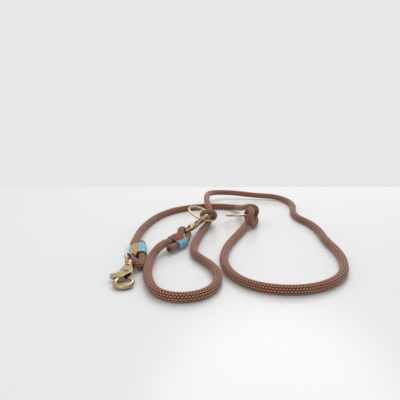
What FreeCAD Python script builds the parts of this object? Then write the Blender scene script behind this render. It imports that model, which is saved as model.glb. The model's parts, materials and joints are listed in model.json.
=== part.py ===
import FreeCAD, Part
import math
import os

from FreeCAD import Matrix, Placement, Rotation, Vector

# A lead rope: one braided rope with a knotted-in ring twice and a swivel snap on each whipped end.
# Millimetres. X runs to the right, Y away from the two snaps, Z up; the rope lies on Z = 0.

doc = FreeCAD.newDocument("LeadRope")
sheet = doc.addObject("Spreadsheet::Sheet", "Sizes")

# Driving sizes: alias, value, what it is
sizes = [
    ("rope_diameter", 10.0, "braided rope"),
    ("tight_rope_diameter", 9.0, "the same rope, drawn tight in a knot or under a whipping"),
    ("fit_gap", 0.3, "gap between pieces that touch loosely"),
    ("running_gap", 0.05, "radial play of pins and rivets"),
    ("ring_wire", 3.2, "wire of the two knotted-in rings"),
    ("ring_bore", 35.2, "clear width of those rings"),
    ("leg_gap", 1.0, "between the two legs under a whipping"),
    ("bight_radius", 8.0, "half width of the fold at a snap's eye"),
    ("whipping_length", 28.0, "twine binding"),
    ("whipping_wall", 1.0, "twine thickness"),
    ("cut_end_overrun", 3.0, "cut rope end past the whipping"),
    ("cut_end_rounding", 1.5, "melted edge of the cut end"),
    ("splice_length", 0.6, "folded end past the whipping on the rope's side"),
    ("tab_thickness", 1.2, "leather"),
    ("tab_rounding", 1.5, "corners of the leather tabs"),
    ("tab_a_width", 6.0, "leather strip, free snap"),
    ("tab_a_length", 26.5, "leather strip, free snap"),
    ("tab_a_shift", -1.3, "leather strip, from the middle of the whipping"),
    ("tab_a_overhang", 5.0, "leather strip, past the whipping on the snap's side"),
    ("tab_b_width", 11.0, "leather patch, clipped snap"),
    ("tab_b_length", 16.0, "leather patch, clipped snap"),
    ("tab_b_shift", -2.5, "leather patch, from the middle of the whipping"),
    ("tab_b_overhang", -4.0, "leather patch, past the whipping on the snap's side"),
    ("eye_wire", 3.2, "swivel eye's wire"),
    ("eye_bore", 12.4, "swivel eye's clear width"),
    ("eye_base_diameter", 9.0, "round foot of the eye"),
    ("eye_base_end", 13.4, "rope axis to the end of the eye's foot"),
    ("eye_seat", 7.6, "rope axis to the seat of the swivel pin's head"),
    ("swivel_pin_diameter", 4.0, "swivel pin"),
    ("swivel_head_diameter", 6.0, "its head"),
    ("swivel_head_thickness", 1.2, "its head"),
    ("swivel_pin_end", 18.0, "rope axis to the pin's end"),
    ("swivel_gap", 0.25, "between the eye's foot and the hook's shoulder"),
    ("groove_depth", 0.6, "turned groove in the eye's foot"),
    ("groove_width", 1.0, "turned groove in the eye's foot"),
    ("shoulder_length", 2.6, "round shoulder of the hook"),
    ("pivot_distance", 26.0, "rope axis to the trigger's rivet"),
    ("hook_distance", 45.0, "rope axis to the hook's centre"),
    ("hook_wire", 5.0, "hook's round section"),
    ("hook_bore", 12.0, "hook's clear width"),
    ("gate_wire", 4.4, "gate's round section"),
    ("joint_angle", 62.8, "joint of gate and hook tip, degrees from the snap's axis at the hook's centre"),
    ("joint_gap", 0.4, "between gate and hook tip"),
    ("body_thickness", 6.4, "hook's body"),
    ("cheek_margin", 1.4, "hook's body past the trigger's plate"),
    ("shoulder_overlap", 1.0, "hook's body into its shoulder"),
    ("arm_end_back", 0.6, "round end of the hook's arm, back from the hook's root"),
    ("arm_end_out", 1.2, "round end of the hook's arm, out from the hook's root"),
    ("slot_width", 4.0, "slot for the trigger"),
    ("slot_start", 20.0, "rope axis to the slot"),
    ("slot_margin", 0.1, "from the end of the slot to the hook's ring"),
    ("lever_thickness", 2.0, "trigger's plate"),
    ("lever_eye_radius", 5.0, "trigger's plate round the rivet"),
    ("thumb_tab_width", 8.0, "thumb tab"),
    ("thumb_tab_thickness", 2.8, "thumb tab"),
    ("thumb_tab_reach", 17.5, "rivet to the tab's end"),
    ("thumb_tab_angle", 62.0, "tab's direction, degrees from the snap's axis"),
    ("rivet_diameter", 3.0, "trigger's rivet"),
    ("rivet_head_diameter", 5.2, "its heads"),
    ("rivet_head_height", 0.7, "its heads"),
    ("spring_wire", 0.4, "torsion spring"),
    ("spring_turns", 1.0, "torsion spring"),
    ("spring_pitch", 0.9, "torsion spring"),
]
for row, (alias, value, note) in enumerate(sizes, start=1):
    sheet.set("A%d" % row, note)
    sheet.set("B%d" % row, str(value))
    sheet.setAlias("B%d" % row, alias)
doc.recompute()
size = {alias: float(getattr(sheet, alias)) for alias, _, _ in sizes}

rope_radius = size["rope_diameter"] / 2
tight_rope_radius = size["tight_rope_diameter"] / 2
ring_radius = (size["ring_bore"] + size["ring_wire"]) / 2
leg_offset = (size["tight_rope_diameter"] + size["leg_gap"]) / 2
hook_radius = (size["hook_bore"] + size["hook_wire"]) / 2
shoulder_start = size["eye_base_end"] + size["swivel_gap"]
shoulder_end = shoulder_start + size["shoulder_length"]

pieces = []


# Geometry helpers


def unit(vector):
    result = Vector(vector)
    result.normalize()
    return result


def frame_at(origin, along, up):
    """A placement whose X runs along and whose Z is as near to up as it can be."""
    axis_x = unit(along)
    axis_y = unit(Vector(up).cross(axis_x))
    axis_z = axis_x.cross(axis_y)
    matrix = Matrix(
        axis_x.x, axis_y.x, axis_z.x, origin.x,
        axis_x.y, axis_y.y, axis_z.y, origin.y,
        axis_x.z, axis_y.z, axis_z.z, origin.z,
        0, 0, 0, 1,
    )
    return Placement(matrix)


arc_share = 0.45
first_run = 1.5 * size["rope_diameter"]
limb_share = 1.45
rim_share = 0.8
neighbour_share = 1.7
steps_per_diameter = 8


def rounded_path(points, name):
    """Straight runs joined by tangent arcs; prints the tightest radius."""
    points = [Vector(p) for p in points]
    edges = []
    radii = []
    last = points[0]
    for before, here, after in zip(points, points[1:], points[2:]):
        run_in = here - before
        run_out = after - here
        way_in = unit(run_in)
        way_out = unit(run_out)
        half_turn = way_in.getAngle(way_out) / 2
        reach = arc_share * min(run_in.Length, run_out.Length)
        radius = reach / math.tan(half_turn)
        radii.append(radius)
        start = here - way_in * reach
        end = here + way_out * reach
        towards = unit(way_out - way_in)
        middle = here + towards * (radius / math.cos(half_turn) - radius)
        edges.append(Part.LineSegment(last, start).toShape())
        edges.append(Part.Arc(start, middle, end).toShape())
        last = end
    edges.append(Part.LineSegment(last, points[-1]).toShape())
    print("%s: radii %s" % (name, " ".join("%.0f" % r for r in radii)))
    return Part.Wire(edges)


def tube(path, radius, name):
    """A round tube along a wire, its volume compared with section times length."""
    first = path.Edges[0]
    start = first.valueAt(first.FirstParameter)
    way = first.tangentAt(first.FirstParameter)
    section = Part.Wire([Part.makeCircle(radius, start, way)])
    solid = path.makePipeShell([section], True, False)
    if solid.Volume < 0:
        solid.reverse()
    share = solid.Volume / (math.pi * radius**2 * path.Length)
    print("%s: length %.1f, volume share %.4f" % (name, path.Length, share))
    return solid


def least_self_gap(path, diameter, name):
    """Least gap of a wound tube to itself, measured on points along its centre line."""
    points = path.discretize(Distance=diameter / steps_per_diameter)
    skip = int(neighbour_share * steps_per_diameter)
    least = min(
        points[i].distanceToPoint(points[j])
        for i in range(len(points))
        for j in range(i + skip, len(points))
    )
    print("%s: least gap to itself %.2f" % (name, least - diameter))


def add_shape(name, shape, placement=None):
    """A sub-part whose shape is made directly: rope, spring."""
    feature = doc.addObject("Part::Feature", name)
    feature.Label = name
    feature.Shape = shape
    if placement is not None:
        feature.Placement = placement
    pieces.append(feature)
    return feature


def primitive(kind, name, **bound):
    """A primitive whose properties are bound to the sheet."""
    shape = doc.addObject("Part::" + kind, name)
    for prop, expression in bound.items():
        shape.setExpression(prop, expression)
    return shape


def combine(kind, name, first, others):
    """First cut, joined or overlapped with others."""
    if kind == "Fuse" and len(others) > 1:
        result = doc.addObject("Part::MultiFuse", name)
        result.Shapes = [first] + others
        return result
    result = first
    for number, other in enumerate(others):
        is_last = number == len(others) - 1
        step = doc.addObject("Part::" + kind, name if is_last else name + "_step%d" % number)
        step.Base = result
        step.Tool = other
        result = step
    return result


def finish(name, source, placement):
    """The finished sub-part under its own label."""
    source.Label = name
    source.Placement = placement
    pieces.append(source)
    return source


def along_x(shape, start):
    """Turns a rod that stands on Z to lie along X, starting at the given expression."""
    shape.Placement = Placement(Vector(), Rotation(Vector(0, 1, 0), 90))
    shape.setExpression("Placement.Base.x", start)
    return shape


def rod(name, diameter, start, end):
    standing = primitive("Cylinder", name, Radius="(%s)/2" % diameter, Height="(%s)-(%s)" % (end, start))
    return along_x(standing, start)


def bar_face(first, second):
    """The outline round two circles, each (x, y, radius), as a flat face."""
    (x1, y1, r1), (x2, y2, r2) = first, second
    a = Vector(x1, y1, 0)
    b = Vector(x2, y2, 0)
    way = unit(b - a)
    side = Vector(-way.y, way.x, 0)
    lean = math.asin((r1 - r2) / (b - a).Length)
    left = way * math.sin(lean) + side * math.cos(lean)
    right = way * math.sin(lean) - side * math.cos(lean)
    edges = [
        Part.LineSegment(a + left * r1, b + left * r2).toShape(),
        Part.Arc(b + left * r2, b + way * r2, b + right * r2).toShape(),
        Part.LineSegment(b + right * r2, a + right * r1).toShape(),
        Part.Arc(a + right * r1, a - way * r1, a + left * r1).toShape(),
    ]
    return Part.Face(Part.Wire(edges))


def bar(name, first, second, thickness, start):
    """A flat bar with round ends, extruded along Z from start; both are expressions."""
    outline = doc.addObject("Part::Feature", name + "_outline")
    outline.Shape = bar_face(first, second)
    solid = doc.addObject("Part::Extrusion", name)
    solid.Base = outline
    solid.DirMode = "Custom"
    solid.Dir = Vector(0, 0, 1)
    solid.Solid = True
    solid.setExpression("LengthFwd", thickness)
    solid.setExpression("Placement.Base.z", start)
    return solid


# The rope's lie: route points on the table, chosen from the photograph.
# The runs next to a whipping start from the whipping itself.

route_short_side = [
    (-120.8, -48.0, 5.2), (-121.0, -20.0, 5), (-117.0, 14.0, 5),
    (-106.5, 58.0, 5), (-84.0, 99.0, 5), (-48.0, 123.0, 5), (-8.0, 129.0, 5),
    (22.0, 118.0, 5.5), (42.0, 94.0, 5.5),
]
route_main_run = [
    (24.0, -8.0, 8), (10.0, -36.0, 5),
    (-3.0, -70.0, 5), (-9.5, -99.0, 5), (-12.0, -128.0, 5), (-6.0, -162.0, 5),
    (13.0, -188.0, 5), (46.0, -198.0, 5), (80.0, -190.0, 5), (107.0, -166.0, 5),
    (121.0, -133.0, 5), (127.0, -94.0, 5), (124.0, -53.0, 5), (128.0, -15.0, 5),
    (125.0, 24.0, 5), (112.0, 57.0, 5), (114.0, 93.0, 5), (124.0, 128.0, 5),
    (123.0, 169.0, 5), (105.0, 199.0, 6), (66.0, 201.0, 8), (26.0, 211.0, 11),
    (-10.0, 201.0, 14), (-27.0, 168.0, 17), (-28.0, 122.0, 18), (-29.0, 88.0, 21),
]
route_hand_loop = [
    (-24.0, 5.0, 5), (-34.0, -14.0, 5), (-41.0, -42.0, 5),
    (-46.0, -74.0, 5), (-45.5, -100.5, 5), (-36.0, -118.5, 5), (-24.5, -138.0, 5), (-19.0, -163.0, 5),
    (-22.0, -187.0, 5), (-35.5, -206.5, 5), (-58.5, -213.0, 5), (-79.0, -202.0, 5),
    (-88.0, -180.0, 5), (-93.3, -156.0, 5), (-94.0, -133.0, 5), (-93.5, -114.0, 6.6), (-88.0, -101.0, 11.0),
]

# Where the rope passes each ring's wire and each snap's eye, and where each whipping starts.
route_at_ring_1 = Vector(-22.3, 34.9, 16.3)
route_at_ring_2 = Vector(40.8, 38.6, 13.5)
route_at_eye_a = Vector(-114.0, -133.0, 10.4)
route_at_eye_b = Vector(-55.2, -36.1, 13.3)
route_at_whipping_a = Vector(-109.5, -110.0, 7.2)
route_at_whipping_b = Vector(-60.0, -58.4, 9.4)

# An overhand knot drawn up round a ring, half of it: X along the rope, Z towards the ring's centre.
# The other half is the same turned by half a turn about Z.
knot_half = [
    (-2, 3.6, 9.5), (-10, 10.8, 1), (-10, 9.6, -10.3), (-9.5, -2.6, -13),
    (0.2, -6.8, -7.8), (3.2, -3.3, -3.4), (11, 1.6, -2.2), (17, 0.2, -0.4),
]
knot_points = [(-x, -y, z) for x, y, z in reversed(knot_half)] + knot_half
knot_wire_height = 2.8
knot_1_swing = 30


def knot_frame(wire_point, along, ring_normal, swing):
    """The knot's own frame, from the ring's wire point in it; swing is the ring's lean in the knot."""
    axis_x = unit(along)
    towards_ring = Rotation(axis_x, swing).multVec(unit(axis_x.cross(ring_normal)))
    placement = frame_at(wire_point, axis_x, towards_ring)
    origin = placement.multVec(Vector(0, 0, -knot_wire_height))
    return Placement(origin, placement.Rotation)


def rope_stretch(name, points):
    path = rounded_path(points, name)
    add_shape(name, tube(path, rope_radius, name))


def knot_ends(frame):
    """The knot's two ends with the next point outward of each."""
    ends = []
    for last, inner in ((knot_points[0], knot_points[1]), (knot_points[-1], knot_points[-2])):
        end = frame.multVec(Vector(*last))
        outward = unit(end - frame.multVec(Vector(*inner)))
        beyond = end + outward * first_run
        beyond.z = max(beyond.z, rope_radius)
        way = unit(beyond - end)
        gap = size["fit_gap"] + rope_radius * math.sin(way.getAngle(outward))
        ends.append((end + way * gap, beyond))
    return ends


def knot_with_ring(number, frame, swing):
    name = "knot_%d" % number
    path = rounded_path(knot_points, name)
    least_self_gap(path, size["tight_rope_diameter"], name)
    add_shape(name, tube(path, tight_rope_radius, name), frame)
    ring = primitive(
        "Torus",
        "ring_%d" % number,
        Radius1="(Sizes.ring_bore + Sizes.ring_wire) / 2",
        Radius2="Sizes.ring_wire / 2",
    )
    lean = frame.Rotation.multiply(Rotation(Vector(1, 0, 0), -swing))
    centre = frame.multVec(Vector(0, 0, knot_wire_height)) + lean.multVec(Vector(0, 0, ring_radius))
    normal = lean.multVec(Vector(0, 1, 0))
    finish("ring_%d" % number, ring, frame_at(centre, lean.multVec(Vector(1, 0, 0)), normal))
    print("ring %d: centre %s normal %s" % (number, centre, normal))


# Folded, whipped ends


def folded_end(letter, rope_point, across_eye, frame):
    """The rope's end, folded through the eye; the frame has X back along the legs and Y from leg to leg."""
    name = "rope_fold_%s" % letter
    standing = frame.multVec(Vector(size["whipping_length"] + size["splice_length"], -leg_offset, 0))
    cut = frame.multVec(Vector(size["whipping_length"] + size["cut_end_overrun"], leg_offset, 0))
    width = size["bight_radius"]
    to_whipping = frame.Base - rope_point
    limb = unit(to_whipping - across_eye * to_whipping.dot(across_eye)) * limb_share * width
    points = [
        standing,
        frame.multVec(Vector(-rim_share * width, -leg_offset, 0)),
        rope_point - across_eye * width + limb,
        rope_point - across_eye * width,
        rope_point + across_eye * width,
        rope_point + across_eye * width + limb,
        frame.multVec(Vector(-rim_share * width, leg_offset, 0)),
        cut,
    ]
    solid = tube(rounded_path(points, name), tight_rope_radius, name)
    rim = [e for e in solid.Edges if e.CenterOfMass.distanceToPoint(cut) < size["fit_gap"]]
    solid = solid.makeFillet(size["cut_end_rounding"], rim)
    add_shape(name, solid)
    back = frame.Rotation.multVec(Vector(1, 0, 0))
    return [standing + back * size["fit_gap"], standing + back * first_run]


def whipping(letter, frame):
    """Twine round both legs; built with Z back along the legs and X from leg to leg."""
    name = "whipping_%s" % letter
    inner = tight_rope_radius + size["fit_gap"]
    outer = inner + size["whipping_wall"]
    outside = bar(
        name + "_outside", (-leg_offset, 0, outer), (leg_offset, 0, outer), "Sizes.whipping_length", "0"
    )
    inside = bar(
        name + "_inside",
        (-leg_offset, 0, inner),
        (leg_offset, 0, inner),
        "Sizes.whipping_length + 2 * Sizes.fit_gap",
        "-Sizes.fit_gap",
    )
    back = frame.Rotation.multVec(Vector(1, 0, 0))
    across = frame.Rotation.multVec(Vector(0, 1, 0))
    finish(name, combine("Cut", name, outside, [inside]), frame_at(frame.Base, across, back))


def leather_tab(letter, frame, side):
    """A leather patch on the flat side of the whipping; side is +1 or -1 along Y."""
    name = "leather_tab_%s" % letter
    length = "Sizes.tab_%s_length" % letter
    width = "Sizes.tab_%s_width" % letter
    plate = primitive("Box", name + "_plate", Length=width, Height=length, Width="Sizes.tab_thickness")
    surface = "(Sizes.tight_rope_diameter / 2 + Sizes.fit_gap + Sizes.whipping_wall + Sizes.running_gap)"
    plate.setExpression("Placement.Base.x", "Sizes.tab_%s_shift - %s / 2" % (letter, width))
    plate.setExpression("Placement.Base.y", surface if side > 0 else "-%s - Sizes.tab_thickness" % surface)
    plate.setExpression("Placement.Base.z", "-Sizes.tab_%s_overhang" % letter)
    doc.recompute()
    rounded = doc.addObject("Part::Fillet", name)
    rounded.Base = plate
    corners = [
        number
        for number, edge in enumerate(plate.Shape.Edges, start=1)
        if abs(edge.tangentAt(edge.FirstParameter).y) > 0.5
    ]
    rounded.Edges = [(number, size["tab_rounding"], size["tab_rounding"]) for number in corners]
    back = frame.Rotation.multVec(Vector(1, 0, 0))
    across = frame.Rotation.multVec(Vector(0, 1, 0))
    finish(name, rounded, frame_at(frame.Base, across, back))


# Snap


def snap_eye(name, frame):
    ring = primitive(
        "Torus",
        name + "_ring",
        Radius1="(Sizes.eye_bore + Sizes.eye_wire) / 2",
        Radius2="Sizes.eye_wire / 2",
    )
    ring.setExpression("Placement.Base.x", "(Sizes.eye_bore - Sizes.tight_rope_diameter) / 2 - Sizes.fit_gap")
    foot = rod(name + "_foot", "Sizes.eye_base_diameter", "Sizes.eye_seat", "Sizes.eye_base_end")
    bore = rod(
        name + "_bore",
        "Sizes.swivel_pin_diameter + 2 * Sizes.running_gap",
        "Sizes.eye_seat - Sizes.fit_gap",
        "Sizes.eye_base_end + Sizes.fit_gap",
    )
    seat = rod(
        name + "_seat",
        "Sizes.swivel_head_diameter + 2 * Sizes.fit_gap",
        "Sizes.eye_seat - Sizes.eye_wire",
        "Sizes.eye_seat",
    )
    groove_start = "(Sizes.eye_base_end - 2 * Sizes.groove_width)"
    groove_out = rod(
        name + "_groove_out",
        "Sizes.eye_base_diameter + Sizes.groove_width",
        groove_start,
        groove_start + " + Sizes.groove_width",
    )
    groove_in = rod(
        name + "_groove_in",
        "Sizes.eye_base_diameter - 2 * Sizes.groove_depth",
        groove_start + " - Sizes.fit_gap",
        groove_start + " + Sizes.groove_width + Sizes.fit_gap",
    )
    groove = combine("Cut", name + "_groove", groove_out, [groove_in])
    whole = combine("Fuse", name + "_whole", ring, [foot])
    finish(name, combine("Cut", name, whole, [bore, seat, groove]), frame)


def swivel_pin(name, frame):
    head_end = "(Sizes.eye_seat - 2 * Sizes.running_gap)"
    shank = rod(
        name + "_shank",
        "Sizes.swivel_pin_diameter",
        "Sizes.eye_seat - Sizes.swivel_head_thickness",
        "Sizes.swivel_pin_end",
    )
    head = rod(
        name + "_head", "Sizes.swivel_head_diameter", head_end + " - Sizes.swivel_head_thickness", head_end
    )
    finish(name, combine("Fuse", name, shank, [head]), frame)


def upright(name, diameter, start, end, at_x):
    """A rod along Z at a place on the snap's axis; all are expressions."""
    shape = primitive("Cylinder", name, Radius="(%s)/2" % diameter, Height="(%s)-(%s)" % (end, start))
    shape.setExpression("Placement.Base.x", at_x)
    shape.setExpression("Placement.Base.z", start)
    return shape


def arc_of_hook(name, wire, first_angle, last_angle):
    """A part of the hook's ring, degrees from the snap's axis."""
    arc = doc.addObject("Part::Torus", name)
    arc.setExpression("Radius1", "(Sizes.hook_bore + Sizes.hook_wire) / 2")
    arc.setExpression("Radius2", "(%s) / 2" % wire)
    arc.Angle3 = last_angle - first_angle
    arc.Placement = Placement(Vector(), Rotation(Vector(0, 0, 1), first_angle))
    arc.setExpression("Placement.Base.x", "Sizes.hook_distance")
    return arc


ring_line = "((Sizes.hook_bore + Sizes.hook_wire) / 2)"
pivot_reach = "(Sizes.hook_distance - Sizes.pivot_distance)"
joint_distance = "sqrt(%s ^ 2 + %s ^ 2 + 2 * %s * %s * cos(Sizes.joint_angle))" % (
    pivot_reach, ring_line, pivot_reach, ring_line
)
slot_end = "(Sizes.hook_distance - %s - Sizes.slot_margin)" % ring_line
hook_root_angle = -152.0
hook_tip_angle = 75.0
gate_root_angle = 145.0
gate_tip_angle = 45.0
pad_stretch_share = 0.125


def on_hook(angle):
    return (
        size["hook_distance"] + hook_radius * math.cos(math.radians(angle)),
        hook_radius * math.sin(math.radians(angle)),
    )


def snap_hook(name, frame):
    cheek_radius = size["lever_eye_radius"] + size["cheek_margin"]
    pivot = (size["pivot_distance"], 0, cheek_radius)
    neck_radius = size["eye_base_diameter"] / 2
    neck = (shoulder_end + neck_radius - size["shoulder_overlap"], 0, neck_radius)
    root_x, root_y = on_hook(hook_root_angle)
    arm_end = (root_x - size["arm_end_back"], root_y - size["arm_end_out"], size["body_thickness"] / 2)
    thick = "Sizes.body_thickness"
    low = "-Sizes.body_thickness / 2"
    cheeks = bar(name + "_cheeks", neck, pivot, thick, low)
    arm = bar(name + "_arm", pivot, arm_end, thick, low)
    shoulder = rod(
        name + "_shoulder",
        "Sizes.eye_base_diameter",
        "Sizes.eye_base_end + Sizes.swivel_gap",
        "Sizes.eye_base_end + Sizes.swivel_gap + Sizes.shoulder_length",
    )
    slot = primitive(
        "Box",
        name + "_slot",
        Length=slot_end + " - Sizes.slot_start",
        Width="4 * Sizes.lever_eye_radius",
        Height="Sizes.slot_width",
    )
    slot.setExpression("Placement.Base.x", "Sizes.slot_start")
    slot.setExpression("Placement.Base.y", "-2 * Sizes.lever_eye_radius")
    slot.setExpression("Placement.Base.z", "-Sizes.slot_width / 2")
    body = combine("Cut", name + "_slotted", combine("Fuse", name + "_plate", cheeks, [arm]), [slot])
    arc = arc_of_hook(name + "_arc", "Sizes.hook_wire", hook_root_angle, hook_tip_angle)
    sector = primitive(
        "Cylinder",
        name + "_joint",
        Radius=joint_distance + " + Sizes.joint_gap / 2",
        Height="2 * Sizes.hook_wire",
    )
    sector.Angle = 90
    sector.setExpression("Placement.Base.x", "Sizes.pivot_distance")
    sector.setExpression("Placement.Base.z", "-Sizes.hook_wire")
    hook = combine("Cut", name + "_tip", arc, [sector])
    whole = combine("Fuse", name + "_whole", body, [hook, shoulder])
    pin_bore = rod(
        name + "_pin_bore",
        "Sizes.swivel_pin_diameter + 2 * Sizes.running_gap",
        "Sizes.eye_base_end",
        "Sizes.swivel_pin_end + Sizes.running_gap",
    )
    rivet_bore = upright(
        name + "_rivet_bore",
        "Sizes.rivet_diameter + 2 * Sizes.running_gap",
        "-Sizes.body_thickness",
        "Sizes.body_thickness",
        "Sizes.pivot_distance",
    )
    finish(name, combine("Cut", name, whole, [pin_bore, rivet_bore]), frame)


def snap_trigger(name, frame):
    pivot_x = size["pivot_distance"]
    angle = math.radians(size["thumb_tab_angle"])
    tab_radius = size["thumb_tab_width"] / 2
    reach = size["thumb_tab_reach"] - tab_radius
    tab_end = (pivot_x + reach * math.cos(angle), -reach * math.sin(angle), tab_radius)
    pivot = (pivot_x, 0, size["lever_eye_radius"])
    gate_root = on_hook(gate_root_angle) + (size["lever_thickness"] / 2,)
    low = "-(Sizes.slot_width / 2 - Sizes.fit_gap)"
    thick = "Sizes.lever_thickness"
    lever = bar(name + "_lever", pivot, tab_end, thick, low)
    stem = bar(name + "_stem", pivot, gate_root, thick, low)
    stretch = pad_stretch_share * tab_radius
    pad_end = (
        tab_end[0] + stretch * math.cos(angle),
        tab_end[1] - stretch * math.sin(angle),
        tab_radius,
    )
    pad_low = low + " - (Sizes.thumb_tab_thickness - Sizes.lever_thickness) / 2"
    pad = bar(name + "_pad", tab_end, pad_end, "Sizes.thumb_tab_thickness", pad_low)
    arc = arc_of_hook(name + "_arc", "Sizes.gate_wire", gate_tip_angle, gate_root_angle)
    limit = primitive(
        "Cylinder",
        name + "_joint",
        Radius=joint_distance + " - Sizes.joint_gap / 2",
        Height="2 * Sizes.hook_wire",
    )
    limit.setExpression("Placement.Base.x", "Sizes.pivot_distance")
    limit.setExpression("Placement.Base.z", "-Sizes.hook_wire")
    gate = combine("Common", name + "_gate", arc, [limit])
    whole = combine("Fuse", name + "_whole", lever, [stem, pad, gate])
    bore = upright(
        name + "_bore",
        "Sizes.rivet_diameter + 2 * Sizes.running_gap",
        "-Sizes.body_thickness",
        "Sizes.body_thickness",
        "Sizes.pivot_distance",
    )
    finish(name, combine("Cut", name, whole, [bore]), frame)


def trigger_rivet(name, frame):
    seat = "(Sizes.body_thickness / 2 + Sizes.running_gap)"
    top = "(%s + Sizes.rivet_head_height)" % seat
    shank = upright(name + "_shank", "Sizes.rivet_diameter", "-" + seat, seat, "Sizes.pivot_distance")
    upper = upright(name + "_upper", "Sizes.rivet_head_diameter", seat, top, "Sizes.pivot_distance")
    low_seat = "-" + seat
    lower = upright(name + "_lower", "Sizes.rivet_head_diameter", "-" + top, low_seat, "Sizes.pivot_distance")
    finish(name, combine("Fuse", name, shank, [upper, lower]), frame)


def trigger_spring(name, frame):
    """A short torsion spring round the rivet, above the trigger's plate."""
    radius = size["rivet_diameter"] / 2 + size["fit_gap"] + size["spring_wire"] / 2
    steps = 8
    start = -size["slot_width"] / 2 + 2 * size["fit_gap"] + size["lever_thickness"] + size["spring_wire"] / 2
    corner = radius / math.cos(math.pi / steps)
    points = []
    for step in range(int(size["spring_turns"] * steps) + 1):
        turn = 2 * math.pi * step / steps
        height = start + size["spring_pitch"] * step / steps
        points.append((size["pivot_distance"] + corner * math.cos(turn), corner * math.sin(turn), height))
    path = rounded_path(points, name)
    add_shape(name, tube(path, size["spring_wire"] / 2, name), frame)


def snap(letter, rope_point, along, across, hook_up, whipping_frame, tab_side):
    """One swivel snap with the folded end that carries it; across runs from standing leg to cut leg."""
    axis = unit(along)
    hinge = unit(across - axis * across.dot(axis))
    rope_start = folded_end(letter, rope_point, hinge, whipping_frame)
    whipping(letter, whipping_frame)
    leather_tab(letter, whipping_frame, tab_side)
    eye_frame = frame_at(rope_point, axis, hinge)
    hook_frame = frame_at(rope_point, axis, hook_up)
    name = "snap_%s_" % letter
    snap_eye(name + "eye", eye_frame)
    swivel_pin(name + "swivel_pin", hook_frame)
    snap_hook(name + "hook", hook_frame)
    snap_trigger(name + "trigger", hook_frame)
    trigger_rivet(name + "rivet", hook_frame)
    trigger_spring(name + "spring", hook_frame)
    up = hook_frame.Rotation.multVec(Vector(0, 0, 1))
    print("snap %s: eye %s hinge %s axis %s hook up %s" % (letter, rope_point, hinge, axis, up))
    return rope_start


# The rope and what it carries

knots = [
    (route_at_ring_1, Vector(0.57, -0.743, -0.352), Vector(0.3815, -0.1406, 0.9137), knot_1_swing),
    (route_at_ring_2, Vector(-0.134, -0.955, 0.266), Vector(-0.02, 0.27, 0.96), 0),
]
ends = []
for number, (wire_point, along, ring_normal, swing) in enumerate(knots, start=1):
    frame = knot_frame(wire_point, along, ring_normal, swing)
    knot_with_ring(number, frame, swing)
    ends += knot_ends(frame)
knot_1_in, knot_1_out, knot_2_in, knot_2_out = ends

free_start = snap(
    "a",
    route_at_eye_a,
    Vector(0.013, -0.99, -0.14),
    Vector(0.82, -0.04, 0.57),
    Vector(0, -0.12, 0.99),
    frame_at(route_at_whipping_a, Vector(-0.155, 0.988, 0), Vector(0.26, 0.04, -0.97)),
    -1,
)
clipped_start = snap(
    "b",
    route_at_eye_b,
    Vector(0.469, 0.881, 0.067),
    Vector(0.47, -0.25, -0.85),
    Vector(-0.68, 0.311, 0.664),
    frame_at(route_at_whipping_b, Vector(-0.512, -0.859, 0), Vector(0.40, -0.24, 0.88)),
    1,
)

rope_stretch("rope_short_side", free_start + route_short_side + [knot_2_in[1], knot_2_in[0]])
rope_stretch("rope_main_run", [knot_2_out[0], knot_2_out[1]] + route_main_run + [knot_1_in[1], knot_1_in[0]])
rope_stretch("rope_hand_loop", [knot_1_out[0], knot_1_out[1]] + route_hand_loop + clipped_start[::-1])

doc.recompute()

bad = [o.Name for o in doc.Objects if {"Invalid", "Error"} & set(o.State)]
bad += [p.Label for p in pieces if p.Shape.isNull() or not p.Shape.isValid()]
if bad:
    raise SystemExit("failed: %s" % bad)

os.makedirs("parts", exist_ok=True)
box = FreeCAD.BoundBox()
for piece in pieces:
    piece_box = piece.Shape.optimalBoundingBox(True)
    box.add(piece_box)
    piece.Shape.exportStep("parts/%s.step" % piece.Label)
    print("%s: lowest %.2f volume %.1f" % (piece.Label, piece_box.ZMin, piece.Shape.Volume))
print("pieces %d, box %s" % (len(pieces), box))
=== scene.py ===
import json
import math

import bmesh
import bpy
from mathutils import Matrix, Vector, noise

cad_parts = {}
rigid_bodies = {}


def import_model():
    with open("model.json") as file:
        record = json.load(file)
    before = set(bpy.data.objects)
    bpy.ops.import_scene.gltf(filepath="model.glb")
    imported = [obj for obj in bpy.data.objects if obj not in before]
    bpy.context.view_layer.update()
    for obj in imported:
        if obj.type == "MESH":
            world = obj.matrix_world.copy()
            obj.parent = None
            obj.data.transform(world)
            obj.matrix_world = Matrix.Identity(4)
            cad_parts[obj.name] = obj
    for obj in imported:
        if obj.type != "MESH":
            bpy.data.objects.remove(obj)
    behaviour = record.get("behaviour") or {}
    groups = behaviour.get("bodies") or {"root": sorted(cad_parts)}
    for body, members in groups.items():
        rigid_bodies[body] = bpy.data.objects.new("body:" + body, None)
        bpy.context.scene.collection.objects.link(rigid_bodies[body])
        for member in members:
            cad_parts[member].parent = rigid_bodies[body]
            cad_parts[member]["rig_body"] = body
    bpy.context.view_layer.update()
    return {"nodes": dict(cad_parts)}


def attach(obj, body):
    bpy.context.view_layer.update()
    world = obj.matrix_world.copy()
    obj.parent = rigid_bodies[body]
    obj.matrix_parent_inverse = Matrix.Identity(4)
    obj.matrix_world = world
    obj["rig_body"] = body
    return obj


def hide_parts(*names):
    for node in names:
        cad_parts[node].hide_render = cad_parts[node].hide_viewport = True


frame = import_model()
mm = 0.001


# Small helpers


def linearColour(hexText):
    channels = [int(hexText[i:i + 2], 16) / 255 for i in (1, 3, 5)]
    curve = [c / 12.92 if c <= 0.04045 else ((c + 0.055) / 1.055) ** 2.4 for c in channels]
    return (*curve, 1.0)


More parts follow.
